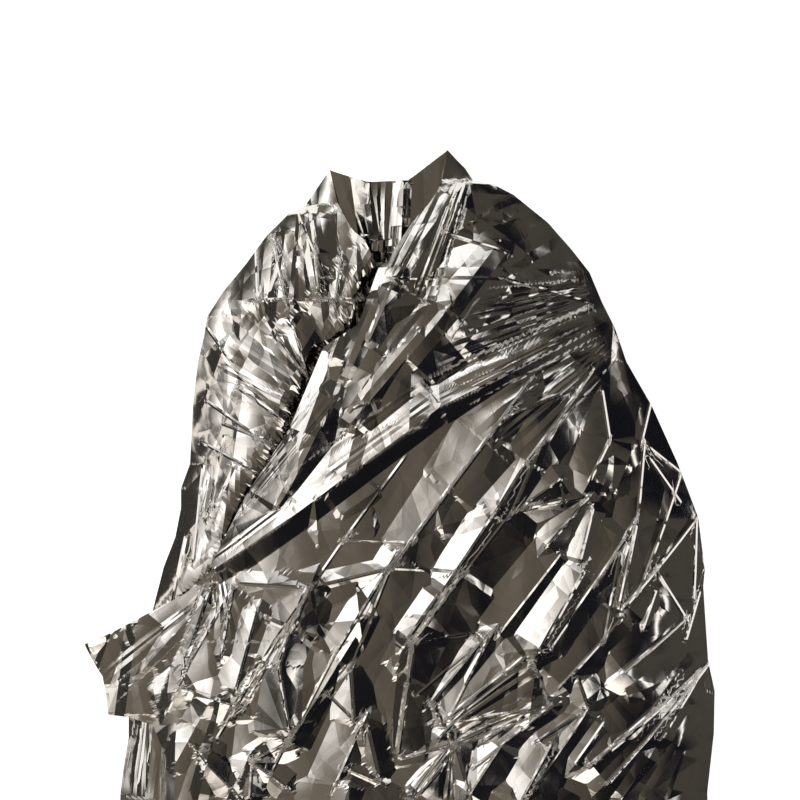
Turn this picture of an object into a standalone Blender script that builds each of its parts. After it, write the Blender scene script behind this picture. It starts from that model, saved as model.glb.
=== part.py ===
"""Emergency foil blanket: one rectangular sheet, wrapped round itself and laid on the floor.

The sheet runs from the free edge of the over panel, across the front to the right side
fold, back along the floor to the left side fold, and in again as the under panel. The
neck is toward +Y and the floor is at Z = 0. Tables are in millimetres.
"""

import bpy
import numpy as np

MM = 0.001
THICK = 1.2
SIDE_ROLL = 2.5
PANEL_GAP = 5.0
HIDDEN_SHARE = 0.75
END_FALL = 0.35
EDGE_SAMPLES = 200

# Grid of the sheet: rows below and above this share of its height, columns of each panel
ROW_BREAK = 0.3
LOWER_ROWS = 7
UPPER_ROWS = 41
OVER_COLUMNS = 29
BACK_COLUMNS = 8
UNDER_COLUMNS = 20

# The over panel hides the under panel from 25 mm outside its edge to 20 mm inside it, and this
# many points of its free edge lie below the flap
COVER_SPAN = (-25, 20)
FREE_POINTS = 5

# The wrap is flat-topped below the shoulders and round at the neck: y, power of its side share
SHOULDERS = (150, 440)
ROUNDNESS = (4, 2)

# The flap: its tip and root, the height of its tip, its rise, and its fall past its two edges
FLAP_TIP_X = -385
FLAP_ROOT_X = -235
FLAP_TIP_HEIGHT = 8
FLAP_RISE = 0.22
FLAP_Y = (-60, 111)
FLAP_FALL = 0.4

# The sheet is built in an empty file
for item in list(bpy.data.objects):
    bpy.data.objects.remove(item)

# Outline of the wrap, each line from its lower or left end: x, y
RIGHT_SIDE = [
    (372, -627), (378, -519), (374, -399), (379, -279), (376, -159), (384, -87), (385, -35),
    (377, 2), (371, 93), (373, 113), (365, 177), (340, 243), (308, 314), (277, 368),
    (263, 409), (247, 441), (232, 477), (210, 505), (181, 538), (139, 572), (114, 585),
    (89, 590), (80, 604), (71, 613), (58, 627),
]
LEFT_SIDE = [
    (-338, -627), (-346, -519), (-341, -399), (-346, -279), (-342, -159), (-338, -128),
    (-332, -92), (-332, -57), (-326, -27), (-314, 21), (-301, 70), (-289, 117), (-275, 153),
    (-268, 189), (-268, 213), (-257, 243), (-253, 319), (-247, 369), (-240, 398),
    (-236, 423), (-216, 454), (-188, 488), (-164, 521), (-137, 548), (-116, 559),
    (-98, 585), (-86, 603),
]
OVER_TOP = [
    (-385, 23), (-349, 39), (-258, 88), (-233, 111), (-185, 207), (-132, 287), (-91, 385),
    (-50, 411), (-26, 479), (-13, 489), (-7, 502), (16, 537), (34, 557), (50, 583), (58, 627),
]
OVER_FREE = [
    (-288, -627), (-283, -399), (-281, -219), (-282, -110), (-300, -74), (-330, -63),
    (-355, -63), (-358, -40), (-362, -15), (-376, 5), (-385, 23),
]
UNDER_TOP = [
    (-86, 603), (-76, 561), (-58, 527), (-43, 515), (-26, 479), (36, 345), (120, 201), (230, 60),
]
UNDER_FREE = [(310, -627), (290, -250), (230, 60)]
BACK_TOP = [(-86, 603), (-40, 588), (10, 590), (58, 627)]

# Height of the middle of the wrap over the floor, along its length: y, height
CROWN = [(-627, 26), (-400, 38), (-150, 48), (100, 54), (300, 52), (480, 41), (530, 29), (580, 17), (627, 9)]

# Folds of the over panel: x and y of the lower end, x and y of the upper end, height at each
# end, fall on the left side, fall on the right side
OVER_FOLDS = [
    (-56, 362, -8, 465, 14, 16, 0.27, 0.22),
    (-8, 465, 64, 565, 16, 12, 0.40, 0.35),
    (-54, 299, 42, 410, 14, 18, 0.34, 0.30),
    (42, 410, 126, 520, 18, 12, 0.34, 0.24),
    (-128, 287, -94, 381, 12, 12, 0.29, 0.60),
    (-222, 119, -122, 187, 20, 18, 0.36, 0.80),
    (-122, 187, 48, 313, 18, 16, 0.40, 0.80),
    (48, 313, 240, 411, 16, 12, 0.56, 0.70),
    (-161, 169, -130, 218, 14, 14, 0.30, 0.50),
    (-130, 218, -78, 321, 14, 12, 0.32, 0.50),
    (4, 137, 59, 213, 7, 8, 0.22, 0.20),
    (59, 213, 108, 278, 8, 9, 0.20, 0.12),
    (108, 278, 157, 346, 9, 8, 0.20, 0.22),
    (55, 99, 112, 185, 10, 13, 0.42, 0.22),
    (112, 185, 151, 247, 14, 9, 0.42, 0.25),
    (151, 247, 232, 355, 8, 9, 0.16, 0.25),
    (134, 303, 204, 332, 7, 7, 0.50, 0.25),
    (228, 227, 252, 273, 12, 14, 0.40, 0.35),
    (252, 273, 245, 327, 14, 9, 0.40, 0.35),
    (136, 187, 192, 226, 6, 9, 0.36, 0.30),
    (176, 147, 226, 206, 9, 7, 0.46, 0.40),
    (136, 187, 221, 205, 6, 6, 0.40, 0.30),
    (215, 131, 230, 189, 9, 7, 0.48, 0.40),
    (167, 26, 217, 113, 17, 14, 0.47, 0.45),
    (118, 40, 191, 134, 5, 5, 0.12, 0.30),
    (179, 26, 269, 153, 8, 8, 0.20, 0.12),
    (193, -20, 264, 57, 7, 9, 0.10, 0.35),
    (-1, -95, 17, 33, 9, 12, 0.75, 0.20),
    (17, 33, 72, 112, 12, 12, 0.75, 0.22),
    (38, -41, 96, 31, 6, 6, 0.36, 0.30),
    (10, 38, 43, 85, 9, 9, 0.39, 0.30),
    (-131, -86, -79, 15, 8, 7, 0.12, 0.30),
    (-79, 15, -4, 137, 7, 7, 0.34, 0.12),
    (-132, -68, -144, 4, 13, 13, 0.26, 0.32),
    (-144, 4, -130, 45, 13, 12, 0.28, 0.32),
    (-125, 51, -107, 99, 12, 10, 0.30, 0.32),
    (-188, -53, -140, 33, 6, 8, 0.20, 0.20),
    (-140, 33, -110, 99, 10, 8, 0.32, 0.25),
    (-196, -26, -170, 68, 8, 9, 0.29, 0.32),
    (-214, 15, -200, 93, 7, 7, 0.28, 0.30),
    (-194, 101, -118, 98, 8, 8, 0.50, 0.30),
    (-104, 98, -17, 119, 8, 7, 0.50, 0.30),
    (-55, -59, -59, 2, 9, 7, 0.31, 0.30),
    (-26, -125, -38, -71, 7, 6, 0.33, 0.30),
    (-80, -146, -40, -56, 7, 7, 0.20, 0.25),
    (-256, 11, -228, 93, 6, 8, 0.25, 0.20),
    (-252, 7, -200, 95, 8, 8, 0.25, 0.20),
    (-281, -55, -252, 7, 7, 8, 0.24, 0.20),
    (-264, -23, -194, -45, 7, 7, 0.25, 0.25),
    (-250, -93, -187, -159, 8, 8, 0.40, 0.30),
    (-179, -153, -176, -111, 8, 6, 0.20, 0.34),
    (-176, -111, -132, -87, 6, 7, 0.30, 0.30),
    (1, -107, 66, -89, 5, 8, 0.40, 0.40),
    (36, -39, 66, -89, 5, 8, 0.35, 0.40),
    (66, -89, 102, -73, 8, 5, 0.40, 0.40),
    (84, -153, 66, -89, 5, 8, 0.40, 0.35),
    (18, -153, 66, -89, 5, 8, 0.40, 0.40),
    (61, -53, 113, 47, 5, 7, 0.40, 0.30),
    (61, -53, 148, 14, 5, 7, 0.40, 0.35),
    (72, -61, 178, -46, 5, 7, 0.45, 0.40),
    (90, -117, 178, -46, 6, 7, 0.40, 0.40),
    (144, -159, 179, -94, 12, 11, 0.38, 0.30),
    (151, -159, 223, -53, 8, 8, 0.36, 0.30),
    (224, -43, 214, -15, 9, 7, 0.46, 0.30),
    (229, -113, 360, -10, 10, 9, 0.55, 0.30),
    (248, -137, 374, -5, 9, 9, 0.15, 0.30),
    (269, -4, 347, 56, 11, 10, 0.60, 0.16),
    (347, 56, 306, 119, 8, 8, 0.30, 0.30),
    (-66, -118, -24, -136, 6, 6, 0.30, 0.30),
    (-137, -141, -176, -111, 6, 6, 0.30, 0.30),
    (179, 26, 269, 153, 9, 10, 0.20, 0.18),
    (269, -5, 347, 56, 9, 8, 0.20, 0.20),
    (230, -116, 374, -3, 10, 6, 0.20, 0.20),
    (59, -57, 146, 14, 9, 9, 0.22, 0.20),
    (125, 463, 125, 550, 6, 5, 0.20, 0.20),
    (182, 480, 182, 530, 5, 4, 0.18, 0.22),
    (-5, 467, 122, 467, 5, 5, 0.22, 0.22),
    (126, 467, 230, 440, 6, 5, 0.20, 0.25),
    (60, 520, 125, 500, 5, 5, 0.25, 0.30),
    (84, -149, 120, -94, 10, 9, 0.36, 0.30),
    (24, -149, 55, -113, 8, 8, 0.40, 0.30),
    (48, -82, 84, -39, 8, 7, 0.42, 0.30),
    (210, -113, 242, -69, 9, 8, 0.40, 0.30),
    (166, -85, 210, -58, 7, 6, 0.55, 0.35),
    (103, -85, 144, -58, 6, 6, 0.50, 0.40),
    (264, 79, 286, 182, 9, 9, 0.30, 0.22),
    (286, 182, 296, 266, 9, 7, 0.30, 0.20),
    (293, 272, 306, 316, 9, 9, 0.75, 0.30),
    (343, 232, 305, 261, 4, 3, 0.50, 0.40),
    (338, 201, 305, 247, 4, 4, 0.40, 0.40),
    (288, 93, 343, 230, 8, 8, 0.45, 0.14),
    (271, 75, 361, 175, 10, 9, 0.66, 0.22),
    (358, 83, 362, 172, 6, 6, 0.25, 0.35),
    (238, 105, 283, 179, 7, 7, 0.52, 0.30),
    (293, 50, 307, 88, 7, 6, 0.85, 0.50),
    (302, -53, 337, -10, 6, 6, 0.20, 0.30),
    (317, -85, 359, -22, 7, 7, 0.30, 0.20),
    (245, 33, 262, 129, 6, 6, 0.34, 0.20),
    (348, 33, 364, 81, 6, 5, 0.60, 0.30),
    (-281, -600, -270, -90, 6, 10, 0.30, 0.16),
    (-90, -560, -60, -140, 5, 10, 0.15, 0.15),
    (120, -560, 150, -150, 5, 10, 0.15, 0.15),
]

# Folds of the under panel, in the same columns
UNDER_FOLDS = [
    (-224, 379, -139, 295, 10, 8, 0.40, 0.40),
    (-197, 413, -114, 343, 10, 8, 0.40, 0.40),
    (-204, 356, -134, 313, 9, 8, 0.40, 0.40),
    (-137, 442, -156, 519, 12, 10, 0.25, 0.35),
    (-96, 442, -102, 497, 10, 9, 0.25, 0.35),
    (-77, 442, -71, 484, 8, 7, 0.20, 0.30),
    (-60, 412, -50, 447, 6, 5, 0.38, 0.30),
    (-180, 442, -52, 442, 7, 7, 0.10, 0.45),
    (-109, 347, -130, 416, 8, 8, 0.30, 0.30),
    (-109, 347, -146, 395, 7, 7, 0.30, 0.30),
    (-137, 295, -192, 333, 8, 6, 0.36, 0.36),
    (-161, 273, -212, 291, 7, 7, 0.30, 0.45),
    (-172, 445, -176, 505, 9, 7, 0.20, 0.35),
    (-206, 369, -233, 405, 5, 5, 0.30, 0.30),
    (-202, 237, -222, 195, 7, 5, 0.30, 0.30),
    (-234, 177, -214, 273, 6, 6, 0.20, 0.30),
    (-250, 130, -240, 236, 6, 8, 0.05, 0.35),
    (-280, 60, -262, 150, 6, 7, 0.05, 0.35),
    (-238, 268, -168, 232, 7, 8, 0.30, 0.35),
    (-236, 320, -150, 262, 6, 8, 0.28, 0.30),
    (-128, 560, -90, 470, 6, 6, 0.20, 0.35),
    (-215, 160, -190, 330, 9, 11, 0.25, 0.25),
    (-316, -500, -308, -70, 4, 8, 0.40, 0.40),
]


def along(line, fractions):
    """Points at these fractions of the length of a line."""
    line = np.array(line, float)
    length = np.concatenate([[0], np.cumsum(np.hypot(*np.diff(line, axis=0).T))])
    return np.stack([np.interp(fractions * length[-1], length, line[:, k]) for k in (0, 1)], axis=-1)


def inset(points, distance):
    """A line moved to its right by a distance."""
    run = np.gradient(points, axis=0)
    run /= np.linalg.norm(run, axis=1, keepdims=True)
    return points + distance * np.stack([run[:, 1], -run[:, 0]], axis=-1)


def patch(bottom, top, left, right, s, v):
    """A grid of points filling the space between four edge lines."""
    s = s[None, :, None]
    v = v[:, None, None]
    across = (1 - s) * left[:, None] + s * right[:, None]
    up = (1 - v) * bottom[None] + v * top[None]
    corners = (1 - v) * ((1 - s) * left[0] + s * right[0]) + v * ((1 - s) * left[-1] + s * right[-1])
    return across + up - corners


def side_share(x, y):
    """How far a point is from the middle of the wrap to its side: -1 left, +1 right."""
    left = np.interp(y, [p[1] for p in LEFT_SIDE], [p[0] for p in LEFT_SIDE])
    right = np.interp(y, [p[1] for p in RIGHT_SIDE], [p[0] for p in RIGHT_SIDE])
    return np.clip((2 * x - left - right) / (right - left), -1, 1)


def middle_share(x, y):
    """How much of the middle's height a point keeps: 1 less a power of its side share."""
    return 1 - np.abs(side_share(x, y)) ** np.interp(y, SHOULDERS, ROUNDNESS)


def crown(x, y):
    """Height of the smooth wrap under its folds."""
    return np.interp(y, [p[0] for p in CROWN], [p[1] for p in CROWN]) * middle_share(x, y)


def folds(x, y, table):
    """Height of the highest fold at each point: flat faces falling from straight ridges."""
    top = np.zeros_like(x)
    for x0, y0, x1, y1, low, high, left, right in table:
        length = np.hypot(x1 - x0, y1 - y0)
        ux, uy = (x1 - x0) / length, (y1 - y0) / length
        run = (x - x0) * ux + (y - y0) * uy
        side = (y - y0) * ux - (x - x0) * uy
        past = np.maximum(-run, run - length)
        ridge = low + (high - low) * np.clip(run / length, 0, 1)
        fall = np.maximum(side * left, -side * right) + END_FALL * np.maximum(past, 0)
        top = np.maximum(top, ridge - fall)
    return top


def cover(x, y):
    """How far a point lies under the over panel: 0 clear of its edge to 1 well under it."""
    edge = along(OVER_TOP, np.linspace(0, 1, EDGE_SAMPLES))
    ends = np.diff(edge, axis=0)
    mids = (edge[1:] + edge[:-1]) / 2
    gaps = np.hypot(x[..., None] - mids[:, 0], y[..., None] - mids[:, 1])
    near = gaps.argmin(axis=-1)
    below = (x - mids[near, 0]) * ends[near, 1] - (y - mids[near, 1]) * ends[near, 0]
    inside = np.sign(below) * gaps.min(axis=-1)
    free = np.interp(y, [p[1] for p in OVER_FREE[:FREE_POINTS]], [p[0] for p in OVER_FREE[:FREE_POINTS]])
    inside = np.minimum(inside, np.where(y < 0, x - free, inside))
    share = np.interp(inside, COVER_SPAN, (0, 1))
    return share * share * (3 - 2 * share)


def over_height(x, y):
    """Height of the over panel, its flap coming down to the floor beyond the left side."""
    loose = np.where(side_share(x, y) > 0, middle_share(x, y), 1)
    body = SIDE_ROLL + crown(x, y) + loose * (PANEL_GAP + folds(x, y, OVER_FOLDS))
    past = np.maximum(FLAP_Y[0] - y, 0) + np.maximum(y - FLAP_Y[1], 0)
    flap = FLAP_TIP_HEIGHT + FLAP_RISE * np.maximum(x - FLAP_TIP_X, 0) - FLAP_FALL * past
    return np.where(x < FLAP_ROOT_X, np.maximum(body, flap), body)


def under_height(x, y):
    """Height of the under panel, which sinks where the over panel covers it."""
    hidden = cover(x, y)
    lift = middle_share(x, y) * (1 - hidden) * folds(x, y, UNDER_FOLDS)
    return SIDE_ROLL + crown(x, y) * (1 - (1 - HIDDEN_SHARE) * hidden) + lift


def roll(line, turn):
    """A line of a side fold, turned from the front (0) to the floor (1)."""
    angle = turn * np.pi / 2
    flat = inset(line, SIDE_ROLL * (1 - np.cos(angle)))
    return np.column_stack([flat, np.full(len(flat), SIDE_ROLL * (1 - np.sin(angle)))])


# Rows from the hem to the neck, closer in the upper part where the folds are
rows = np.concatenate([np.linspace(0, ROW_BREAK, LOWER_ROWS, endpoint=False),
                       np.linspace(ROW_BREAK, 1, UPPER_ROWS)])
right_line = along(RIGHT_SIDE, rows)
left_line = along(LEFT_SIDE, rows)

# Over panel, from its free edge to the right side
s = np.sin(np.linspace(0, 1, OVER_COLUMNS) * np.pi / 2)
hem = np.array([OVER_FREE[0], RIGHT_SIDE[0]], float)
flat = patch(along(hem, s), along(OVER_TOP, s), along(OVER_FREE, rows), right_line, s, rows)
over = np.dstack([flat, over_height(flat[..., 0], flat[..., 1])])

# Back panel on the floor, from the right side to the left
s = np.linspace(0, 1, BACK_COLUMNS)
floor_left = inset(left_line, SIDE_ROLL)
floor_right = inset(right_line[::-1], SIDE_ROLL)[::-1]
hem = np.array([floor_left[0], floor_right[0]])
neck = along([tuple(floor_left[-1])] + BACK_TOP[1:-1] + [tuple(floor_right[-1])], s)
flat = patch(along(hem, s), neck, floor_left, floor_right, s, rows)[:, ::-1]
back = np.dstack([flat, np.zeros(flat.shape[:2])])

# Under panel, from the left side to its free edge under the front
s = 1 - np.sin(np.linspace(1, 0, UNDER_COLUMNS) * np.pi / 2)
hem = np.array([LEFT_SIDE[0], UNDER_FREE[0]], float)
flat = patch(along(hem, s), along(UNDER_TOP, s), left_line, along(UNDER_FREE, rows), s, rows)
under = np.dstack([flat, under_height(flat[..., 0], flat[..., 1])])

# Side folds, one line half way round each
right_roll = roll(right_line[::-1], 0.5)[::-1][:, None]
left_roll = roll(left_line, 0.5)[:, None]

# One sheet of all the panels, its underside on the floor
grid = np.concatenate([over, right_roll, back, left_roll, under], axis=1)
grid[..., 2] += THICK / 2
middle = (grid[..., :2].reshape(-1, 2).min(0) + grid[..., :2].reshape(-1, 2).max(0)) / 2
grid[..., :2] -= middle

# Faces, each square split along its higher diagonal so that ridges stay whole
count, width = grid.shape[:2]
index = np.arange(count * width).reshape(count, width)
a, b, c, d = index[:-1, :-1], index[:-1, 1:], index[1:, 1:], index[1:, :-1]
z = grid[..., 2].ravel()
first = (z[a] + z[c] >= z[b] + z[d])[..., None, None]
faces = np.where(first, np.stack([np.stack([a, b, c], -1), np.stack([a, c, d], -1)], -2),
                 np.stack([np.stack([a, b, d], -1), np.stack([b, c, d], -1)], -2)).reshape(-1, 3)

# The film as one solid of even thickness
mesh = bpy.data.meshes.new("foil_sheet")
mesh.from_pydata((grid.reshape(-1, 3) * MM).tolist(), [], faces.tolist())
sheet = bpy.data.objects.new("foil_sheet", mesh)
blanket = bpy.data.collections.new("foil_blanket")
bpy.context.scene.collection.children.link(blanket)
blanket.objects.link(sheet)
thicken = sheet.modifiers.new("Thickness", "SOLIDIFY")
thicken.thickness = THICK * MM
thicken.offset = 0

# Bright metallised film with a slight warm cast
foil = bpy.data.materials.new("foil")
foil.use_nodes = True
shader = foil.node_tree.nodes["Principled BSDF"]
shader.inputs["Base Color"].default_value = (0.82, 0.78, 0.72, 1)
shader.inputs["Metallic"].default_value = 1.0
shader.inputs["Roughness"].default_value = 0.12
mesh.materials.append(foil)
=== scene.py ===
"""Emergency foil blanket: a thin metallised sheet wrapped round itself and laid on the floor.

The sheet is one grid of points. It runs from the free edge of the over panel, across the
front, round the right side fold, back along the floor, round the left side fold and in
under the front. Each panel fills the space between its four edge lines, and its height is
a smooth crown plus the highest of many straight folds, each a ridge with flat faces.
Tables are in millimetres; the neck is toward +Y and the floor is at Z = 0.
"""

import bpy
import numpy as np
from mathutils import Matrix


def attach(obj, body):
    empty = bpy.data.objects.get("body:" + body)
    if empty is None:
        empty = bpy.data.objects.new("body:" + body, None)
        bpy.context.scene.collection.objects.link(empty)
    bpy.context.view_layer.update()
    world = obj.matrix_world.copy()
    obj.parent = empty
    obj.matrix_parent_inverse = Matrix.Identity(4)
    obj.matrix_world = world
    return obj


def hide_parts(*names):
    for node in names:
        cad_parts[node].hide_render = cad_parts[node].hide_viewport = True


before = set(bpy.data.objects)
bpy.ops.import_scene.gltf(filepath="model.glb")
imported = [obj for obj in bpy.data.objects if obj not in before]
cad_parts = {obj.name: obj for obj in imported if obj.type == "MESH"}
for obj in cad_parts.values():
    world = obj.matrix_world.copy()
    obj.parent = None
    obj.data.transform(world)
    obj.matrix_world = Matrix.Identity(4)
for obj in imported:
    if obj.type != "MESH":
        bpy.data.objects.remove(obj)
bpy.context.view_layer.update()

# The sheet: metallised polyester film cut from a roll, 2.1 m by 1.3 m and thinner than a
# hair. Its four edges are bare cuts. It came folded small, so it keeps a net of press
# folds under the bigger folds that the wrap gives it.
MM = 0.001
SIDE_ROLL = 2.5
PANEL_GAP = 5.0
HIDDEN_SHARE = 0.75
END_FALL = 0.35
FLOOR_CLEARANCE = 0.6
EDGE_SAMPLES = 120
FREE_POINTS = 5

# The over panel hides the under panel from 25 mm outside its edge to 20 mm inside it
COVER_SPAN = (-25, 20)

# The wrap is flat-topped below the shoulders and round at the neck: y, power of its side share
SHOULDERS = (150, 440)
ROUNDNESS = (4, 2)

# The flap: its tip and root, the height of its tip, its rise, and its fall past its two edges
FLAP_TIP_X = -385
FLAP_ROOT_X = -235
FLAP_TIP_HEIGHT = 8
FLAP_RISE = 0.22
FLAP_Y = (-60, 111)
FLAP_FALL = 0.4

# Outline of the wrap, each line from its lower or left end: x, y
RIGHT_SIDE = [
    (372, -627), (378, -519), (374, -399), (379, -279), (376, -159), (384, -87), (385, -35),
    (377, 2), (371, 93), (373, 113), (365, 177), (340, 243), (308, 314), (277, 368),
    (263, 409), (247, 441), (232, 477), (210, 505), (181, 538), (139, 572), (114, 585),
    (89, 590), (80, 604), (71, 613), (58, 627),
]
LEFT_SIDE = [
    (-338, -627), (-346, -519), (-341, -399), (-346, -279), (-342, -159), (-338, -128),
    (-332, -92), (-332, -57), (-326, -27), (-314, 21), (-301, 70), (-289, 117), (-275, 153),
    (-268, 189), (-268, 213), (-257, 243), (-253, 319), (-247, 369), (-240, 398),
    (-236, 423), (-216, 454), (-188, 488), (-164, 521), (-137, 548), (-116, 559),
    (-98, 585), (-86, 603),
]
OVER_TOP = [
    (-385, 23), (-349, 39), (-258, 88), (-233, 111), (-185, 207), (-132, 287), (-91, 385),
    (-50, 411), (-26, 479), (-13, 489), (-7, 502), (16, 537), (34, 557), (50, 583), (58, 627),
]
OVER_FREE = [
    (-288, -627), (-283, -399), (-281, -219), (-282, -110), (-300, -74), (-330, -63),
    (-355, -63), (-358, -40), (-362, -15), (-376, 5), (-385, 23),
]
UNDER_TOP = [
    (-86, 603), (-76, 561), (-58, 527), (-43, 515), (-26, 479), (36, 345), (120, 201), (230, 60),
]
UNDER_FREE = [(310, -627), (290, -250), (230, 60)]
BACK_TOP = [(-86, 603), (-40, 588), (10, 590), (58, 627)]

# Height of the middle of the wrap over the floor, along its length: y, height
CROWN = [
    (-627, 26), (-400, 38), (-150, 48), (100, 54), (300, 52), (480, 41), (530, 29), (580, 17),
    (627, 9),
]

# Folds of the over panel: x and y of the lower end, x and y of the upper end, height at each
# end, fall on the left side, fall on the right side
OVER_FOLDS = [
    (-56, 362, -8, 465, 14, 16, 0.27, 0.22),
    (-8, 465, 64, 565, 16, 12, 0.40, 0.35),
    (-54, 299, 42, 410, 14, 18, 0.34, 0.30),
    (42, 410, 126, 520, 18, 12, 0.34, 0.24),
    (-128, 287, -94, 381, 12, 12, 0.29, 0.60),
    (-222, 119, -122, 187, 20, 18, 0.36, 0.80),
    (-122, 187, 48, 313, 18, 16, 0.40, 0.80),
    (48, 313, 240, 411, 16, 12, 0.56, 0.70),
    (-161, 169, -130, 218, 14, 14, 0.30, 0.50),
    (-130, 218, -78, 321, 14, 12, 0.32, 0.50),
    (4, 137, 59, 213, 7, 8, 0.22, 0.20),
    (59, 213, 108, 278, 8, 9, 0.20, 0.12),
    (108, 278, 157, 346, 9, 8, 0.20, 0.22),
    (55, 99, 112, 185, 10, 13, 0.42, 0.22),
    (112, 185, 151, 247, 14, 9, 0.42, 0.25),
    (151, 247, 232, 355, 8, 9, 0.16, 0.25),
    (134, 303, 204, 332, 7, 7, 0.50, 0.25),
    (228, 227, 252, 273, 12, 14, 0.40, 0.35),
    (252, 273, 245, 327, 14, 9, 0.40, 0.35),
    (136, 187, 192, 226, 6, 9, 0.36, 0.30),
    (176, 147, 226, 206, 9, 7, 0.46, 0.40),
    (136, 187, 221, 205, 6, 6, 0.40, 0.30),
    (215, 131, 230, 189, 9, 7, 0.48, 0.40),
    (167, 26, 217, 113, 17, 14, 0.47, 0.45),
    (118, 40, 191, 134, 5, 5, 0.12, 0.30),
    (179, 26, 269, 153, 8, 8, 0.20, 0.12),
    (193, -20, 264, 57, 7, 9, 0.10, 0.35),
    (-1, -95, 17, 33, 9, 12, 0.75, 0.20),
    (17, 33, 72, 112, 12, 12, 0.75, 0.22),
    (38, -41, 96, 31, 6, 6, 0.36, 0.30),
    (10, 38, 43, 85, 9, 9, 0.39, 0.30),
    (-131, -86, -79, 15, 8, 7, 0.12, 0.30),
    (-79, 15, -4, 137, 7, 7, 0.34, 0.12),
    (-132, -68, -144, 4, 13, 13, 0.26, 0.32),
    (-144, 4, -130, 45, 13, 12, 0.28, 0.32),
    (-125, 51, -107, 99, 12, 10, 0.30, 0.32),
    (-188, -53, -140, 33, 6, 8, 0.20, 0.20),
    (-140, 33, -110, 99, 10, 8, 0.32, 0.25),
    (-196, -26, -170, 68, 8, 9, 0.29, 0.32),
    (-214, 15, -200, 93, 7, 7, 0.28, 0.30),
    (-194, 101, -118, 98, 8, 8, 0.50, 0.30),
    (-104, 98, -17, 119, 8, 7, 0.50, 0.30),
    (-55, -59, -59, 2, 9, 7, 0.31, 0.30),
    (-26, -125, -38, -71, 7, 6, 0.33, 0.30),
    (-80, -146, -40, -56, 7, 7, 0.20, 0.25),
    (-256, 11, -228, 93, 6, 8, 0.25, 0.20),
    (-252, 7, -200, 95, 8, 8, 0.25, 0.20),
    (-281, -55, -252, 7, 7, 8, 0.24, 0.20),
    (-264, -23, -194, -45, 7, 7, 0.25, 0.25),
    (-250, -93, -187, -159, 8, 8, 0.40, 0.30),
    (-179, -153, -176, -111, 8, 6, 0.20, 0.34),
    (-176, -111, -132, -87, 6, 7, 0.30, 0.30),
    (1, -107, 66, -89, 5, 8, 0.40, 0.40),
    (36, -39, 66, -89, 5, 8, 0.35, 0.40),
    (66, -89, 102, -73, 8, 5, 0.40, 0.40),
    (84, -153, 66, -89, 5, 8, 0.40, 0.35),
    (18, -153, 66, -89, 5, 8, 0.40, 0.40),
    (61, -53, 113, 47, 5, 7, 0.40, 0.30),
    (61, -53, 148, 14, 5, 7, 0.40, 0.35),
    (72, -61, 178, -46, 5, 7, 0.45, 0.40),
    (90, -117, 178, -46, 6, 7, 0.40, 0.40),
    (144, -159, 179, -94, 12, 11, 0.38, 0.30),
    (151, -159, 223, -53, 8, 8, 0.36, 0.30),
    (224, -43, 214, -15, 9, 7, 0.46, 0.30),
    (229, -113, 360, -10, 10, 9, 0.55, 0.30),
    (248, -137, 374, -5, 9, 9, 0.15, 0.30),
    (269, -4, 347, 56, 11, 10, 0.60, 0.16),
    (347, 56, 306, 119, 8, 8, 0.30, 0.30),
    (-66, -118, -24, -136, 6, 6, 0.30, 0.30),
    (-137, -141, -176, -111, 6, 6, 0.30, 0.30),
    (179, 26, 269, 153, 9, 10, 0.20, 0.18),
    (269, -5, 347, 56, 9, 8, 0.20, 0.20),
    (230, -116, 374, -3, 10, 6, 0.20, 0.20),
    (59, -57, 146, 14, 9, 9, 0.22, 0.20),
    (125, 463, 125, 550, 6, 5, 0.20, 0.20),
    (182, 480, 182, 530, 5, 4, 0.18, 0.22),
    (-5, 467, 122, 467, 5, 5, 0.22, 0.22),
    (126, 467, 230, 440, 6, 5, 0.20, 0.25),
    (60, 520, 125, 500, 5, 5, 0.25, 0.30),
    (84, -149, 120, -94, 10, 9, 0.36, 0.30),
    (24, -149, 55, -113, 8, 8, 0.40, 0.30),
    (48, -82, 84, -39, 8, 7, 0.42, 0.30),
    (210, -113, 242, -69, 9, 8, 0.40, 0.30),
    (166, -85, 210, -58, 7, 6, 0.55, 0.35),
    (103, -85, 144, -58, 6, 6, 0.50, 0.40),
    (264, 79, 286, 182, 9, 9, 0.30, 0.22),
    (286, 182, 296, 266, 9, 7, 0.30, 0.20),
    (293, 272, 306, 316, 9, 9, 0.75, 0.30),
    (343, 232, 305, 261, 4, 3, 0.50, 0.40),
    (338, 201, 305, 247, 4, 4, 0.40, 0.40),
    (288, 93, 343, 230, 8, 8, 0.45, 0.14),
    (271, 75, 361, 175, 10, 9, 0.66, 0.22),
    (358, 83, 362, 172, 6, 6, 0.25, 0.35),
    (238, 105, 283, 179, 7, 7, 0.52, 0.30),
    (293, 50, 307, 88, 7, 6, 0.85, 0.50),
    (302, -53, 337, -10, 6, 6, 0.20, 0.30),
    (317, -85, 359, -22, 7, 7, 0.30, 0.20),
    (245, 33, 262, 129, 6, 6, 0.34, 0.20),
    (348, 33, 364, 81, 6, 5, 0.60, 0.30),
    (-281, -600, -270, -90, 6, 10, 0.30, 0.16),
    (-90, -560, -60, -140, 5, 10, 0.15, 0.15),
    (120, -560, 150, -150, 5, 10, 0.15, 0.15),
]

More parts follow.
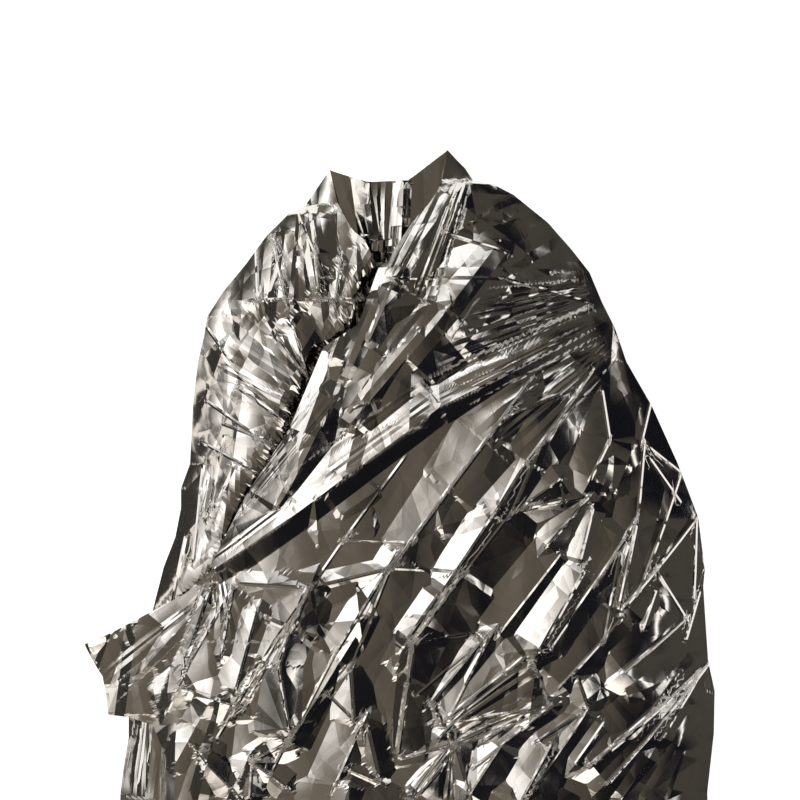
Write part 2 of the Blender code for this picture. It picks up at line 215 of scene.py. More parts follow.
# Folds of the under panel, in the same columns
UNDER_FOLDS = [
    (-224, 379, -139, 295, 10, 8, 0.40, 0.40),
    (-197, 413, -114, 343, 10, 8, 0.40, 0.40),
    (-204, 356, -134, 313, 9, 8, 0.40, 0.40),
    (-137, 442, -156, 519, 12, 10, 0.25, 0.35),
    (-96, 442, -102, 497, 10, 9, 0.25, 0.35),
    (-77, 442, -71, 484, 8, 7, 0.20, 0.30),
    (-60, 412, -50, 447, 6, 5, 0.38, 0.30),
    (-180, 442, -52, 442, 7, 7, 0.10, 0.45),
    (-109, 347, -130, 416, 8, 8, 0.30, 0.30),
    (-109, 347, -146, 395, 7, 7, 0.30, 0.30),
    (-137, 295, -192, 333, 8, 6, 0.36, 0.36),
    (-161, 273, -212, 291, 7, 7, 0.30, 0.45),
    (-172, 445, -176, 505, 9, 7, 0.20, 0.35),
    (-206, 369, -233, 405, 5, 5, 0.30, 0.30),
    (-202, 237, -222, 195, 7, 5, 0.30, 0.30),
    (-234, 177, -214, 273, 6, 6, 0.20, 0.30),
    (-250, 130, -240, 236, 6, 8, 0.05, 0.35),
    (-280, 60, -262, 150, 6, 7, 0.05, 0.35),
    (-238, 268, -168, 232, 7, 8, 0.30, 0.35),
    (-236, 320, -150, 262, 6, 8, 0.28, 0.30),
    (-128, 560, -90, 470, 6, 6, 0.20, 0.35),
    (-215, 160, -190, 330, 9, 11, 0.25, 0.25),
    (-316, -500, -308, -70, 4, 8, 0.40, 0.40),
]


HEADING_SPREAD = 50
SHORTEST_SHARE = 0.35
LOWEST_SHARE = 0.3
GENTLEST_SHARE = 0.4


def crumples(seed, count, low, high, length, height, fall, heading):
    """Small folds scattered over a stretch of the sheet, as rows of the folds' table.

    Each has a random middle between the corners low and high, a random share of the length,
    height and fall given, and a heading within the spread, in degrees, of the main one.
    """
    rng = np.random.default_rng(seed)
    middle = rng.uniform(low, high, (count, 2))
    turn = np.radians(heading + rng.uniform(-HEADING_SPREAD, HEADING_SPREAD, count))
    half = rng.uniform(SHORTEST_SHARE, 1, count)[:, None] * length / 2
    arm = half * np.stack([np.cos(turn), np.sin(turn)], axis=-1)
    tops = rng.uniform(LOWEST_SHARE, 1, (count, 2)) * height
    falls = rng.uniform(GENTLEST_SHARE, 1, (count, 2)) * fall
    return np.column_stack([middle - arm, middle + arm, tops, falls])


# Small creases on the main folds, in the folds' columns: on the flap, round the neck, on the
# strip beside the band, low on the front and on the left collar
FLAP_CREASES = [
    (-331, -26, -305, 2, 6, 7, 0.40, 0.35),
    (-305, 2, -234, 81, 7, 5, 0.40, 0.30),
    (-347, 38, -305, 4, 3, 5, 0.35, 0.30),
    (-379, 19, -347, 31, 3, 3, 0.30, 0.30),
    (-287, 9, -252, 59, 4, 4, 0.25, 0.20),
    (-334, -66, -318, 50, 7, 7, 0.50, 0.20),
    (-372, -20, -350, 40, 4, 4, 0.50, 0.20),
]
NECK_CREASES = [
    (-70, 350, -32, 440, 5, 5, 0.25, 0.28),
    (-36, 392, -10, 452, 4, 5, 0.30, 0.22),
    (-84, 330, -58, 392, 5, 4, 0.30, 0.26),
    (-46, 322, 22, 402, 6, 6, 0.22, 0.30),
    (-8, 380, 40, 440, 5, 5, 0.30, 0.25),
    (-92, 296, -30, 318, 5, 4, 0.30, 0.30),
    (20, 360, 88, 440, 6, 5, 0.16, 0.20),
    (70, 420, 130, 500, 6, 5, 0.16, 0.20),
    (-20, 430, 60, 440, 4, 4, 0.20, 0.20),
    (126, 480, 190, 520, 6, 5, 0.30, 0.45),
    (168, 450, 216, 472, 5, 4, 0.30, 0.40),
    (88, 536, 138, 560, 5, 4, 0.30, 0.30),
]
STRIP_CREASES = [
    (-114, 282, -80, 376, 12, 12, 0.80, 0.50),
    (-70, 300, -20, 372, 5, 5, 0.25, 0.25),
    (-150, 196, -112, 268, 3, 3, 0.06, 0.30),
]
LOWER_CREASES = [
    (-125, 51, -107, 99, 6, 6, 0.12, 0.16),
    (-131, -70, -143, 6, 6, 6, 0.14, 0.16),
    (-143, 6, -128, 48, 6, 5, 0.14, 0.16),
    (-221, -80, -131, 52, 5, 5, 0.50, 0.60),
    (-132, -88, -54, 38, 5, 5, 0.55, 0.30),
    (-118, 52, -48, 60, 7, 9, 0.20, 0.22),
    (-240, -150, -215, -40, 8, 5, 0.60, 0.24),
    (-196, -160, -168, -100, 7, 5, 0.60, 0.24),
    (-250, -600, -236, -180, 6, 6, 0.40, 0.16),
    (296, -160, 356, -70, 6, 6, 0.50, 0.30),
    (262, -165, 300, -110, 6, 6, 0.50, 0.30),
    (330, -150, 345, -110, 5, 5, 0.60, 0.30),
]
COLLAR_CREASES = [
    (-236, 420, -222, 500, 18, 12, 0.60, 0.45),
    (-192, 442, -186, 530, 18, 14, 0.60, 0.45),
    (-148, 442, -136, 560, 16, 12, 0.60, 0.40),
    (-108, 470, -98, 580, 14, 10, 0.60, 0.45),
    (-214, 450, -206, 515, 12, 8, 0.60, 0.50),
    (-170, 452, -162, 550, 14, 10, 0.60, 0.50),
    (-128, 445, -120, 575, 14, 10, 0.60, 0.50),
    (-246, 300, -216, 380, 8, 8, 0.40, 0.26),
]
OVER_CREASES = np.vstack([crumples(11, 26, (-300, -180), (380, 560), 90, 5, 0.20, 52),
                          FLAP_CREASES, NECK_CREASES, STRIP_CREASES, LOWER_CREASES])
UNDER_CREASES = np.vstack([crumples(12, 30, (-340, -200), (0, 600), 80, 4, 0.20, 80),
                           COLLAR_CREASES])
BACK_FOLDS = [
    # lower end, upper end, height at each end, fall on each side
    (-30, 470, -50, 600, 5, 4, 0.35, 0.35),
    (0, 490, 5, 600, 4, 4, 0.30, 0.40),
]
NO_FOLDS = np.empty((0, 8))


def along(line, fractions):
    """Points at these fractions of the length of a line."""
    line = np.array(line, float)
    length = np.concatenate([[0], np.cumsum(np.hypot(*np.diff(line, axis=0).T))])
    spots = fractions * length[-1]
    return np.stack([np.interp(spots, length, line[:, k]) for k in (0, 1)], axis=-1)


def inset(points, distance):
    """A line moved to its right by a distance."""
    run = np.gradient(points, axis=0)
    run /= np.linalg.norm(run, axis=1, keepdims=True)
    return points + distance * np.stack([run[:, 1], -run[:, 0]], axis=-1)


def patch(bottom, top, left, right, s, v):
    """A grid filling the space between four edge lines: the two blends of facing edges, added,
    less the blend of the four corners."""
    s = s[None, :, None]
    v = v[:, None, None]
    across = (1 - s) * left[:, None] + s * right[:, None]
    up = (1 - v) * bottom[None] + v * top[None]
    lower = (1 - s) * left[0] + s * right[0]
    upper = (1 - s) * left[-1] + s * right[-1]
    return across + up - ((1 - v) * lower + v * upper)


def side_share(x, y):
    """How far a point is from the middle of the wrap to its side: -1 left, +1 right."""
    left = np.interp(y, [p[1] for p in LEFT_SIDE], [p[0] for p in LEFT_SIDE])
    right = np.interp(y, [p[1] for p in RIGHT_SIDE], [p[0] for p in RIGHT_SIDE])
    return np.clip((2 * x - left - right) / (right - left), -1, 1)


def middle_share(x, y):
    """How much of the middle's height a point keeps: 1 less a power of its side share, the 4th
    below the shoulders and the 2nd at the neck."""
    return 1 - np.abs(side_share(x, y)) ** np.interp(y, SHOULDERS, ROUNDNESS)


def crown(x, y):
    """Height of the smooth wrap under its folds."""
    return np.interp(y, [p[0] for p in CROWN], [p[1] for p in CROWN]) * middle_share(x, y)


def folds(x, y, table):
    """Height of the highest fold at each point, and the plane a + b x + c y of that face.

    A fold's height is the least of three planes along its ridge, for its length and its two
    ends, plus the lesser of two planes falling to its sides.
    """
    top = np.zeros_like(x)
    plane = np.zeros(x.shape + (3,))
    level = np.array([1.0, 0, 0])
    for x0, y0, x1, y1, low, high, left, right in table:
        length = np.hypot(x1 - x0, y1 - y0)
        ux, uy = (x1 - x0) / length, (y1 - y0) / length
        run = np.array([-x0 * ux - y0 * uy, ux, uy])
        side = np.array([x0 * uy - y0 * ux, -uy, ux])
        ridge = np.stack([low * level + (high - low) / length * run,
                          low * level + END_FALL * run,
                          (high + END_FALL * length) * level - END_FALL * run])
        slopes = np.stack([-left * side, right * side])
        reach = max(low, high) / min(left, right, END_FALL)
        near = ((x > min(x0, x1) - reach) & (x < max(x0, x1) + reach)
                & (y > min(y0, y1) - reach) & (y < max(y0, y1) + reach))
        point = np.stack([np.ones(near.sum()), x[near], y[near]], axis=-1)
        down = point @ ridge.T
        aside = point @ slopes.T
        height = down.min(axis=-1) + aside.min(axis=-1)
        face = ridge[down.argmin(axis=-1)] + slopes[aside.argmin(axis=-1)]
        higher = height > top[near]
        plane[near] = np.where(higher[:, None], face, plane[near])
        top[near] = np.where(higher, height, top[near])
    return top, plane


def relief(x, y, big, small):
    """Height and plane of the big folds with the small creases on them."""
    top, plane = folds(x, y, big)
    crease, tilt = folds(x, y, small)
    return top + crease, plane + tilt


# A crease that only touches a grid point, closer than this to both faces, moves nothing
LEAST_CROSSING = 1e-9


def snap(x, y, big, small):
    """Moves grid points onto the creases, so that each crease is a clean line of edges.

    Where two neighbours lie on different faces, the one nearer the line where the two planes
    meet moves to it along the edge between them, if the crease runs more across this way of
    the grid than across the other. Points on the panel's rim stay.
    """
    free = np.zeros(x.shape, bool)
    free[1:-1, 1:-1] = True
    ways = [np.stack([np.gradient(x, axis=axis), np.gradient(y, axis=axis)], axis=-1)
            for axis in (0, 1)]
    for way, step in ((1, (0, 1)), (0, (1, 0))):
        _, plane = relief(x, y, big, small)
        rows, cols = x.shape
        first = (slice(0, rows - step[0]), slice(0, cols - step[1]))
        second = (slice(step[0], rows), slice(step[1], cols))
        apart = plane[first] - plane[second]
        here = apart[..., 0] + apart[..., 1] * x[first] + apart[..., 2] * y[first]
        there = apart[..., 0] + apart[..., 1] * x[second] + apart[..., 2] * y[second]
        steep = [np.abs((apart[..., 1:] * run[first]).sum(axis=-1)) for run in ways]
        crossed = (here * there < -LEAST_CROSSING) & (steep[way] >= steep[1 - way])
        share = np.where(crossed, here / np.where(crossed, here - there, 1), 0.5)
        meet_x = x[first] + share * (x[second] - x[first])
        meet_y = y[first] + share * (y[second] - y[first])
        for part, mine in ((first, share < 0.5), (second, share >= 0.5)):
            move = crossed & mine & free[part]
            x[part] = np.where(move, meet_x, x[part])
            y[part] = np.where(move, meet_y, y[part])
            free[part] &= ~move
    return x, y


def cover(x, y):
    """How far a point lies under the over panel: 0 clear of its edge to 1 well under it."""
    edge = along(OVER_TOP, np.linspace(0, 1, EDGE_SAMPLES))
    ends = np.diff(edge, axis=0)
    mids = (edge[1:] + edge[:-1]) / 2
    gaps = np.hypot(x[..., None] - mids[:, 0], y[..., None] - mids[:, 1])
    near = gaps.argmin(axis=-1)
    below = (x - mids[near, 0]) * ends[near, 1] - (y - mids[near, 1]) * ends[near, 0]
    inside = np.sign(below) * gaps.min(axis=-1)
    low_edge = OVER_FREE[:FREE_POINTS]
    free = np.interp(y, [p[1] for p in low_edge], [p[0] for p in low_edge])
    inside = np.minimum(inside, np.where(y < 0, x - free, inside))
    share = np.interp(inside, COVER_SPAN, (0, 1))
    return share * share * (3 - 2 * share)


def over_height(x, y):
    """Height of the over panel, its flap coming down to the floor beyond the left side."""
    side = np.where(side_share(x, y) > 0, 1 - middle_share(x, y), 0)
    top, _ = relief(x, y, OVER_FOLDS, OVER_CREASES)
    body = SIDE_ROLL + crown(x, y) + (1 - side) * (PANEL_GAP + top)
    past = np.maximum(FLAP_Y[0] - y, 0) + np.maximum(y - FLAP_Y[1], 0)
    flap = FLAP_TIP_HEIGHT + FLAP_RISE * np.maximum(x - FLAP_TIP_X, 0) - FLAP_FALL * past
    crease, _ = folds(x, y, OVER_CREASES)
    return np.where(x < FLAP_ROOT_X, np.maximum(body, flap + crease), body)


def under_height(x, y):
    """Height of the under panel, which sinks where the over panel covers it."""
    side = 1 - middle_share(x, y)
    hidden = cover(x, y)
    top, _ = relief(x, y, UNDER_FOLDS, UNDER_CREASES)
    sunk = crown(x, y) * (1 - (1 - HIDDEN_SHARE) * hidden)
    return SIDE_ROLL + sunk + (1 - side) * (1 - hidden) * top


def roll(line, turns):
    """Lines of a side fold, turned from the front (0) to the floor (1)."""
    lines = []
    for angle in turns * np.pi / 2:
        flat = inset(line, SIDE_ROLL * (1 - np.cos(angle)))
        lines.append(np.column_stack([flat, np.full(len(flat), SIDE_ROLL * (1 - np.sin(angle)))]))
    return np.stack(lines, axis=1)


def splits(panel, height):
    """Which way to split each square: True along its rising diagonal, where that lies closer to
    the folded surface than the other one."""
    corner = panel[:-1, :-1], panel[:-1, 1:], panel[1:, 1:], panel[1:, :-1]
    miss = []
    for p, q in ((0, 2), (1, 3)):
        middle = (corner[p] + corner[q]) / 2
        miss.append(np.abs(height(middle[..., 0], middle[..., 1]) - middle[..., 2]))
    return miss[0] <= miss[1]


def panel(flat, height, big, small):
    """A panel of the front: its grid snapped to its creases, its heights and its splits."""
    x, y = snap(flat[..., 0].copy(), flat[..., 1].copy(), big, small)
    points = np.dstack([x, y, height(x, y)])
    return points, splits(points, height)


# Grid of the sheet: rows below and above this share of its height, columns of each panel, and
# the power that crowds the over panel's columns toward its right side
ROW_BREAK = 0.33
LOWER_ROWS = 44
UPPER_ROWS = 262
OVER_COLUMNS = 206
BACK_COLUMNS = 22
UNDER_COLUMNS = 76
CROWDING = 1.1

rows = np.concatenate([np.linspace(0, ROW_BREAK, LOWER_ROWS, endpoint=False),
                       np.linspace(ROW_BREAK, 1, UPPER_ROWS)])
right_line = along(RIGHT_SIDE, rows)
left_line = along(LEFT_SIDE, rows)

s = np.sin(np.linspace(0, 1, OVER_COLUMNS) * np.pi / 2) ** CROWDING
hem = np.array([OVER_FREE[0], RIGHT_SIDE[0]], float)
flat = patch(along(hem, s), along(OVER_TOP, s), along(OVER_FREE, rows), right_line, s, rows)
over, over_splits = panel(flat, over_height, OVER_FOLDS, OVER_CREASES)

s = np.linspace(0, 1, BACK_COLUMNS)
floor_left = inset(left_line, SIDE_ROLL)
floor_right = inset(right_line[::-1], SIDE_ROLL)[::-1]
hem = np.array([floor_left[0], floor_right[0]])
neck = along([tuple(floor_left[-1])] + BACK_TOP[1:-1] + [tuple(floor_right[-1])], s)
flat = patch(along(hem, s), neck, floor_left, floor_right, s, rows)[:, ::-1]
x, y = snap(flat[..., 0].copy(), flat[..., 1].copy(), BACK_FOLDS, NO_FOLDS)
back = np.dstack([x, y, folds(x, y, BACK_FOLDS)[0]])

s = 1 - np.sin(np.linspace(1, 0, UNDER_COLUMNS) * np.pi / 2)
hem = np.array([LEFT_SIDE[0], UNDER_FREE[0]], float)
flat = patch(along(hem, s), along(UNDER_TOP, s), left_line, along(UNDER_FREE, rows), s, rows)
under, under_splits = panel(flat, under_height, UNDER_FOLDS, UNDER_CREASES)

# The side folds' two lines each, as shares of the turn from the front to the floor
ROLL_TURNS = np.array([0.33, 0.67])
right_roll = roll(right_line[::-1], ROLL_TURNS)[::-1]
left_roll = roll(left_line, ROLL_TURNS[::-1])

grid = np.concatenate([over, right_roll, back, left_roll, under], axis=1)
middle = (grid[..., :2].reshape(-1, 2).min(0) + grid[..., :2].reshape(-1, 2).max(0)) / 2
grid[..., :2] -= middle
grid[..., 2] += FLOOR_CLEARANCE

index = np.arange(grid.shape[0] * grid.shape[1]).reshape(grid.shape[:2])
a, b, c, d = index[:-1, :-1], index[:-1, 1:], index[1:, 1:], index[1:, :-1]
rising = np.ones(a.shape, bool)
rising[:, :over_splits.shape[1]] = over_splits
rising[:, -under_splits.shape[1]:] = under_splits
rising = rising[..., None, None]
faces = np.where(rising, np.stack([np.stack([a, b, c], -1), np.stack([a, c, d], -1)], -2),
                 np.stack([np.stack([a, b, d], -1), np.stack([b, c, d], -1)], -2)).reshape(-1, 3)

# Edges that turn more than this many degrees show as creases
SHARPEST_SMOOTH = 3
mesh = bpy.data.meshes.new("foil blanket")
mesh.from_pydata(grid.reshape(-1, 3) * MM, [], faces)
mesh.shade_smooth()
mesh.set_sharp_from_angle(angle=np.radians(SHARPEST_SMOOTH))
blanket = bpy.data.objects.new("foil_blanket", mesh)
bpy.context.scene.collection.objects.link(blanket)

# Fans of fine pleats: start and end of the first pleat, then of the last, how many, strength
OVER_FANS = [
    # right side gather, above and below the band
    (30, 345, 238, 436, 100, 455, 222, 470, 8, 0.6),
    (60, 306, 246, 402, 140, 235, 266, 372, 7, 0.6),
    # band of pleats from the lower left to the right side
    (-226, 116, -120, 184, -232, 150, -142, 228, 3, 0.22),
    (-120, 184, 48, 310, -142, 228, 26, 346, 3, 0.22),
    (48, 310, 244, 409, 26, 346, 234, 442, 4, 0.35),
    # crinkled strip beside the band
    (-205, 165, -72, 318, -190, 215, -98, 345, 6, 0.08),
    # collar
    (-20, 470, 34, 570, 40, 430, 92, 600, 6, 0.8),
    # flap
    (-380, 22, -240, 108, -352, -55, -245, 50, 4, 0.25),
    # lower left gather, running down
    (-262, 30, -234, 108, -140, 30, -205, 122, 5, 0.3),
    # lower right
    (262, -130, 368, -15, 180, -170, 330, -70, 4, 0.6),
    (60, -54, 152, 25, 66, -92, 182, -50, 5, 0.8),
    (-5, -155, 60, -90, 70, -165, 62, -90, 4, 0.7),
]
UNDER_FANS = [
    (-240, 430, -105, 335, -225, 330, -112, 290, 5, 0.22),
    (-156, 570, -132, 440, -88, 600, -62, 440, 4, 0.35),
    (-340, -165, -322, -50, -286, -165, -286, -60, 4, 0.5),
]
BACK_FANS = [
    (-84, 602, -28, 460, 20, 600, -18, 460, 5, 0.4),
]

# Press folds left from the packet: x and y of the lower end, x and y of the upper end
PRESS_FOLDS = [
    (-4, -95, 14, 33), (14, 33, 79, 117), (79, 117, 133, 187), (133, 187, 169, 269),
    (169, 269, 232, 355), (-150, -118, -131, -79), (-131, -79, -56, 7), (-56, 7, -11, 121),
    (-11, 121, 55, 211), (55, 211, 157, 346),
    (-218, -83, -149, 34), (-149, 34, -66, 155), (-66, 155, 5, 251),
    (118, 40, 191, 134), (179, 26, 269, 153), (269, -5, 347, 56), (252, -136, 362, -16),
    (14, 33, 114, 47), (-86, -31, -54, -61), (24, -28, 113, 47), (-11, 121, 77, 116),
    (-66, 155, 12, 150), (-156, 519, -137, 442), (-102, 497, -96, 442), (-180, 442, -52, 442),
    (-72, 484, -77, 442),
]


def off_line(x, y, ax, ay, bx, by):
    """Distance of points from the line through a and b: positive on its left."""
    length = np.hypot(bx - ax, by - ay)
    return ((y - ay) * (bx - ax) - (x - ax) * (by - ay)) / length


# A fan's pleats fade in over this share of it at each rim, and run unevenly: by how many
# pleats, in waves of this rate. Each fan's count starts this far from the last one's. Where a
# fan's two lines meet, the distance across it is taken as no less than the last value.
FADE_SHARE = 0.25
UNEVEN_PLEATS = 0.35
UNEVEN_RATE = 9.7
FAN_STEP = 20
LEAST_SPAN = 1e-6


def window(share):
    """0 outside 0 to 1, rising to 1 over the fade share at each end."""
    return np.clip(np.minimum(share, 1 - share) / FADE_SHARE, 0, 1)


def pleats(x, y, table):
    """Count across the pleats, place along them and strength at each point.

    The share across a fan is the distance from its first pleat over the sum of the distances
    from its first and last, which keeps each pleat a straight line.
    """
    made = np.zeros(x.shape + (3,))
    for number, (ax, ay, bx, by, cx, cy, dx, dy, count, strength) in enumerate(table):
        first = off_line(x, y, ax, ay, bx, by)
        last = off_line(x, y, cx, cy, dx, dy)
        turn = np.sign(off_line(np.array(cx + dx) / 2, np.array(cy + dy) / 2, ax, ay, bx, by))
        near, far = turn * first, -turn * last
        across = near / np.where(np.abs(near + far) > LEAST_SPAN, near + far, LEAST_SPAN)
        begin = off_line(x, y, ax, ay, cx, cy)
        finish = off_line(x, y, bx, by, dx, dy)
        side = np.sign(off_line(np.array(bx + dx) / 2, np.array(by + dy) / 2, ax, ay, cx, cy))
        gone, left = side * begin, -side * finish
        down = gone / np.where(np.abs(gone + left) > LEAST_SPAN, gone + left, LEAST_SPAN)
        inside = (near > 0) & (far > 0) & (gone > 0) & (left > 0)
        power = np.where(inside, strength * window(across) * window(down), 0)
        shift = UNEVEN_PLEATS * np.sin(UNEVEN_RATE * across + number)
        uneven = across * count + shift + FAN_STEP * number
        fan = np.stack([uneven, down, power], axis=-1)
        made = np.where((power > made[..., 2])[..., None], fan, made)
    return made


# The sharper folds of the fronts carry a press line too: those past the wide ones that each
# table starts with, above the plain lower part, and not straight up and down
WIDE_OVER_FOLDS = 10
WIDE_UNDER_FOLDS = 3
PLAIN_BELOW_Y = -250
OVER_LINES = np.vstack([PRESS_FOLDS, [row[:4] for row in OVER_FOLDS[WIDE_OVER_FOLDS:]
                                      if row[1] > PLAIN_BELOW_Y and row[0] != row[2]]])
UNDER_LINES = np.vstack([PRESS_FOLDS, [row[:4] for row in UNDER_FOLDS[WIDE_UNDER_FOLDS:-2]]])

# Millimetres: how far a press line runs on past its ends, where its strength is full and where
# it is gone beside it, the widest distance kept, and how long one wave of its wear is
RUN_ON = 8
FULL_WITHIN = 4
GONE_BEYOND = 7
WIDEST_KEPT = 40
WEAR_LENGTH = 30
WEAR_STEP = 7


def presses(x, y, table):
    """Distance from the nearest press fold in millimetres, and how strong it is there."""
    made = np.zeros(x.shape + (3,))
    made[..., 0] = np.inf
    for number, (ax, ay, bx, by) in enumerate(table):
        length = np.hypot(bx - ax, by - ay)
        gone = ((x - ax) * (bx - ax) + (y - ay) * (by - ay)) / length
        aside = off_line(x, y, ax, ay, bx, by)
        power = np.clip(np.minimum(gone, length - gone) / RUN_ON + 1, 0, 1)
        closer = (np.abs(aside) < np.abs(made[..., 0])) & (power > 0)
        power = power * np.interp(np.abs(aside), (FULL_WITHIN, GONE_BEYOND), (1, 0))
        line = np.stack([aside, gone / WEAR_LENGTH + WEAR_STEP * number, power], axis=-1)
        made = np.where(closer[..., None], line, made)
    made[..., 0] = np.clip(made[..., 0], -WIDEST_KEPT, WIDEST_KEPT)
    return made


def keep(name, over_part, back_part, under_part):
    """Stores three numbers a point on the mesh, zero on the side folds."""
    rolled = np.zeros(right_roll.shape[:2] + (3,))
    whole = np.concatenate([over_part, rolled, back_part, rolled, under_part], axis=1)
    mesh.attributes.new(name, "FLOAT_VECTOR", "POINT").data.foreach_set("vector", whole.ravel())


keep("pleats", pleats(over[..., 0], over[..., 1], OVER_FANS),
     pleats(back[..., 0], back[..., 1], BACK_FANS),
     pleats(under[..., 0], under[..., 1], UNDER_FANS))
keep("presses", presses(over[..., 0], over[..., 1], OVER_LINES), np.zeros(back.shape),
     presses(under[..., 0], under[..., 1], UNDER_LINES))


# Heights of the bumps in metres, and half a press line's width in millimetres
SWELL_HEIGHT = 0.006
CRINKLE_HEIGHT = 0.0003
FACET_HEIGHT = 0.0035
PLEAT_HEIGHT = 0.010
PLEAT_SCATTER = 1.3
PRESS_HEIGHT = 0.0010
PRESS_HALF = 2.3
PRESS_LEAST = 0.25


def maths(tree, operation, *inputs):
    """A maths node in a node tree, fed by numbers or by other nodes' outputs."""
    node = tree.nodes.new("ShaderNodeMath")
    node.operation = operation
    for socket, given in zip(node.inputs, inputs):
        if isinstance(given, (int, float)):
            socket.default_value = given
        else:
            tree.links.new(given, socket)
    return node.outputs["Value"]


def foil_material():
    """Vacuum-metallised film: a mirror with a slight warm cast, broken by fine crinkles."""
    material = bpy.data.materials.new("foil")
    material.use_nodes = True
    tree = material.node_tree
    nodes, links = tree.nodes, tree.links
    shader = nodes["Principled BSDF"]
    shader.inputs["Metallic"].default_value = 1.0
    place = nodes.new("ShaderNodeTexCoord")

    haze = nodes.new("ShaderNodeTexNoise")
    haze.inputs["Scale"].default_value = 9
    haze.inputs["Detail"].default_value = 4
    links.new(place.outputs["Object"], haze.inputs["Vector"])
    gloss = nodes.new("ShaderNodeMapRange")
    gloss.inputs["To Min"].default_value = 0.05
    gloss.inputs["To Max"].default_value = 0.15
    links.new(haze.outputs["Fac"], gloss.inputs["Value"])
    links.new(gloss.outputs["Result"], shader.inputs["Roughness"])

    tint = nodes.new("ShaderNodeMix")
    tint.data_type = "RGBA"
    tint.inputs["A"].default_value = (0.86, 0.81, 0.74, 1)
    tint.inputs["B"].default_value = (0.80, 0.78, 0.76, 1)
    links.new(haze.outputs["Fac"], tint.inputs["Factor"])
    links.new(tint.outputs["Result"], shader.inputs["Base Color"])

    def bump(height, distance, under=None):
        """A bump of the surface, on top of another one."""
        node = nodes.new("ShaderNodeBump")
        node.inputs["Distance"].default_value = distance
        node.inputs["Strength"].default_value = 1.0
        links.new(height, node.inputs["Height"])
        if under is not None:
            links.new(under, node.inputs["Normal"])
        return node.outputs["Normal"]

    def kept(name):
        """The three numbers stored on the mesh under this name."""
        node = nodes.new("ShaderNodeAttribute")
        node.attribute_name = name
        parts = nodes.new("ShaderNodeSeparateXYZ")
        links.new(node.outputs["Vector"], parts.inputs["Vector"])
        return node.outputs["Vector"], [parts.outputs[axis] for axis in "XYZ"]

    swell = nodes.new("ShaderNodeTexNoise")
    swell.inputs["Scale"].default_value = 12
    swell.inputs["Detail"].default_value = 1
    links.new(place.outputs["Object"], swell.inputs["Vector"])
    surface = bump(swell.outputs["Fac"], SWELL_HEIGHT)

    crinkle = nodes.new("ShaderNodeTexVoronoi")
    crinkle.feature = "DISTANCE_TO_EDGE"
    crinkle.inputs["Scale"].default_value = 38
    links.new(place.outputs["Object"], crinkle.inputs["Vector"])
    surface = bump(crinkle.outputs["Distance"], CRINKLE_HEIGHT, surface)

    facet = nodes.new("ShaderNodeTexVoronoi")
    facet.feature = "DISTANCE_TO_EDGE"
    facet.inputs["Scale"].default_value = 13
    links.new(place.outputs["Object"], facet.inputs["Vector"])
    surface = bump(facet.outputs["Distance"], FACET_HEIGHT, surface)

    vector, (across, _, power) = kept("pleats")
    streaks = nodes.new("ShaderNodeTexNoise")
    streaks.inputs["Scale"].default_value = 0.55
    streaks.inputs["Detail"].default_value = 1
    links.new(vector, streaks.inputs["Vector"])
    uneven = maths(tree, "MULTIPLY_ADD", streaks.outputs["Fac"], PLEAT_SCATTER, across)
    ridge = maths(tree, "PINGPONG", uneven, 0.5)
    ridge = maths(tree, "MULTIPLY", maths(tree, "MULTIPLY", ridge, power), streaks.outputs["Fac"])
    surface = bump(ridge, PLEAT_HEIGHT, surface)

    _, (aside, along_it, power) = kept("presses")
    wear = nodes.new("ShaderNodeTexNoise")
    wear.inputs["Scale"].default_value = 1.0
    links.new(along_it, wear.inputs["Vector"])
    off = maths(tree, "DIVIDE", maths(tree, "ABSOLUTE", aside), PRESS_HALF)
    ridge = maths(tree, "MAXIMUM", maths(tree, "SUBTRACT", 1, off), 0)
    worn = maths(tree, "ADD", wear.outputs["Fac"], PRESS_LEAST)
    ridge = maths(tree, "MULTIPLY", maths(tree, "MULTIPLY", ridge, power), worn)
    surface = bump(ridge, PRESS_HEIGHT, surface)
    links.new(surface, shader.inputs["Normal"])
    return material


mesh.materials.append(foil_material())
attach(blanket, "root")
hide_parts("foil_sheet")

# The floor: a wide sheet of pale painted board that the blanket lies on. It is one flat square
# at Z = 0, and glows a little, so that it shows almost white like the photograph's ground.
FLOOR_SIDE = 60.0
board = bpy.data.meshes.new("floor")
half = FLOOR_SIDE / 2
corners = [(-half, -half, 0), (half, -half, 0), (half, half, 0), (-half, half, 0)]
board.from_pydata(corners, [], [(0, 1, 2, 3)])
floor = bpy.data.objects.new("floor", board)
bpy.context.scene.collection.objects.link(floor)
paint = bpy.data.materials.new("floor paint")
paint.use_nodes = True
paint_shader = paint.node_tree.nodes["Principled BSDF"]
paint_shader.inputs["Base Color"].default_value = (0.92, 0.92, 0.92, 1)
paint_shader.inputs["Roughness"].default_value = 0.9
paint_shader.inputs["Emission Color"].default_value = (1, 1, 1, 1)
paint_shader.inputs["Emission Strength"].default_value = 0.85
board.materials.append(paint)

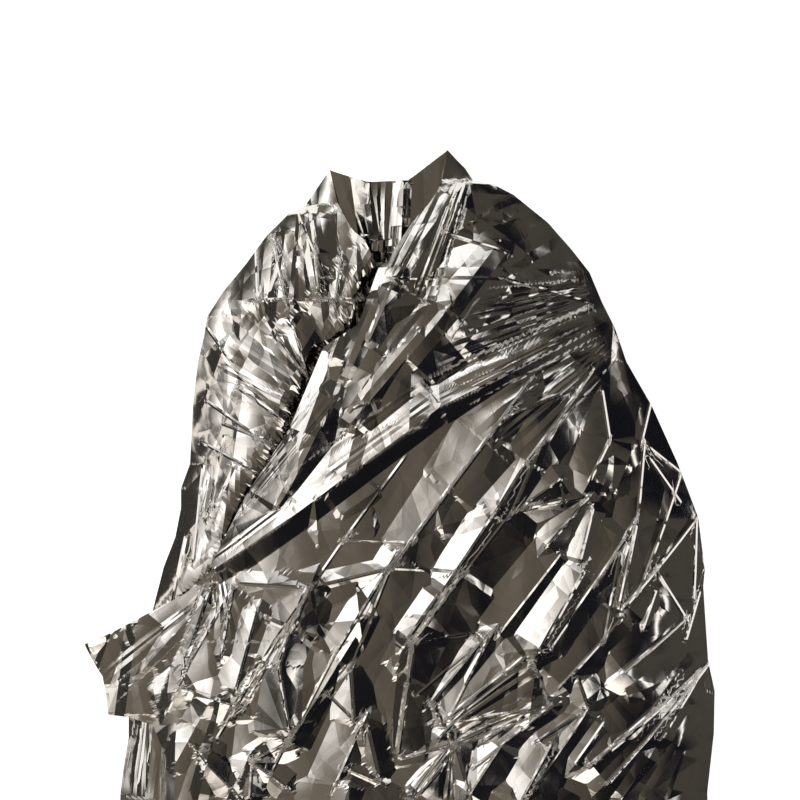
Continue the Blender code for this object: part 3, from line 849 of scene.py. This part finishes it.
# The light: a dim brown room with soft boxes round it, which is all that the foil mirrors. A face
# of the foil that falls by some slope to one side mirrors the room at twice that angle, so each
# box is placed by the slope that shows it: middle slope toward +X and +Y, half widths, softness.
SOFT_BOXES = [
    # x, y, half width, half height, soft, strength, colour
    (0.28, 0.40, 0.24, 0.18, 0.4, 0.06, (1.0, 0.90, 0.78)),
    (0.72, -0.08, 0.26, 0.20, 0.5, 0.06, (1.0, 0.90, 0.78)),
    (-0.46, 0.50, 0.20, 0.16, 0.4, 0.06, (1.0, 0.90, 0.78)),
    (-0.36, 0.14, 0.15, 0.28, 0.7, 0.95, (1.0, 0.98, 0.95)),
    (-0.35, 0.20, 0.07, 0.20, 0.8, 1.7, (1.0, 0.99, 0.98)),
    (-0.62, 0.10, 0.03, 0.16, 0.5, 1.0, (1.0, 0.96, 0.90)),
    (-0.05, -0.42, 0.22, 0.08, 0.6, 1.5, (1.0, 0.95, 0.88)),
    (0.42, 0.04, 0.02, 0.20, 0.5, 1.4, (1.0, 0.98, 0.96)),
    (-0.10, 0.52, 0.14, 0.08, 0.6, 1.3, (0.97, 0.98, 1.0)),
    (-0.13, 0.13, 0.03, 0.05, 0.6, 0.30, (1.0, 0.96, 0.90)),
]
ROOM_TONES = [
    # share across the room from left to right, colour
    (0.0, (0.03, 0.027, 0.024)), (0.22, (0.05, 0.045, 0.04)), (0.32, (0.15, 0.135, 0.11)),
    (0.42, (0.16, 0.14, 0.113)), (0.5, (0.105, 0.092, 0.075)), (0.56, (0.07, 0.062, 0.051)),
    (0.60, (0.026, 0.023, 0.020)), (0.64, (0.008, 0.008, 0.010)), (1.0, (0.005, 0.006, 0.010)),
]

world = bpy.data.worlds.new("room")
world.use_nodes = True
bpy.context.scene.world = world
room = world.node_tree
nodes, links = room.nodes, room.links


def fade(offset, half, soft):
    """1 within half of the middle, falling smoothly to 0 over its soft share beyond."""
    node = nodes.new("ShaderNodeMapRange")
    node.interpolation_type = "SMOOTHSTEP"
    node.inputs["From Min"].default_value = half * (1 + soft)
    node.inputs["From Max"].default_value = half * (1 - soft)
    links.new(maths(room, "ABSOLUTE", offset), node.inputs["Value"])
    return node.outputs["Result"]


# Straight down the slopes run out to the edge of all numbers, so the divisor stops here
LEAST_RISE = 0.05
direction = nodes.new("ShaderNodeTexCoord")
axes = nodes.new("ShaderNodeSeparateXYZ")
links.new(direction.outputs["Generated"], axes.inputs["Vector"])
rise = maths(room, "MAXIMUM", maths(room, "ADD", axes.outputs["Z"], 1), LEAST_RISE)
slope_x = maths(room, "DIVIDE", axes.outputs["X"], rise)
slope_y = maths(room, "DIVIDE", axes.outputs["Y"], rise)

across = nodes.new("ShaderNodeMapRange")
across.inputs["From Min"].default_value = -1
links.new(slope_x, across.inputs["Value"])
ramp = nodes.new("ShaderNodeValToRGB")
links.new(across.outputs["Result"], ramp.inputs["Fac"])
first_spot, first_tone = ROOM_TONES[0]
ramp.color_ramp.elements.remove(ramp.color_ramp.elements[1])
ramp.color_ramp.elements[0].position = first_spot
ramp.color_ramp.elements[0].color = (*first_tone, 1)
for spot, tone in ROOM_TONES[1:]:
    ramp.color_ramp.elements.new(spot).color = (*tone, 1)

glow = ramp.outputs["Color"]
for x, y, half_width, half_height, soft, strength, colour in SOFT_BOXES:
    inside = maths(room, "MULTIPLY", fade(maths(room, "SUBTRACT", slope_x, x), half_width, soft),
                   fade(maths(room, "SUBTRACT", slope_y, y), half_height, soft))
    box = nodes.new("ShaderNodeMix")
    box.data_type = "RGBA"
    box.inputs["B"].default_value = (*(strength * c for c in colour), 1)
    links.new(inside, box.inputs["Factor"])
    links.new(glow, box.inputs["A"])
    glow = box.outputs["Result"]
links.new(glow, nodes["Background"].inputs["Color"])

# The camera: straight above the upper front, looking down at the sheet. It is framed as the
# photograph, 0.96 m across at the height of the sheet's top.
LENS = 90.0
VIEW_SIDE = 0.96
VIEW_CENTRE_Y = 0.321
SHEET_TOP = 0.05
camera_data = bpy.data.cameras.new("camera")
camera_data.lens = LENS
camera = bpy.data.objects.new("camera", camera_data)
camera.location = (0, VIEW_CENTRE_Y, SHEET_TOP + VIEW_SIDE * LENS / camera_data.sensor_width)
bpy.context.scene.collection.objects.link(camera)
bpy.context.scene.camera = camera
bpy.context.scene.view_settings.view_transform = "Standard"
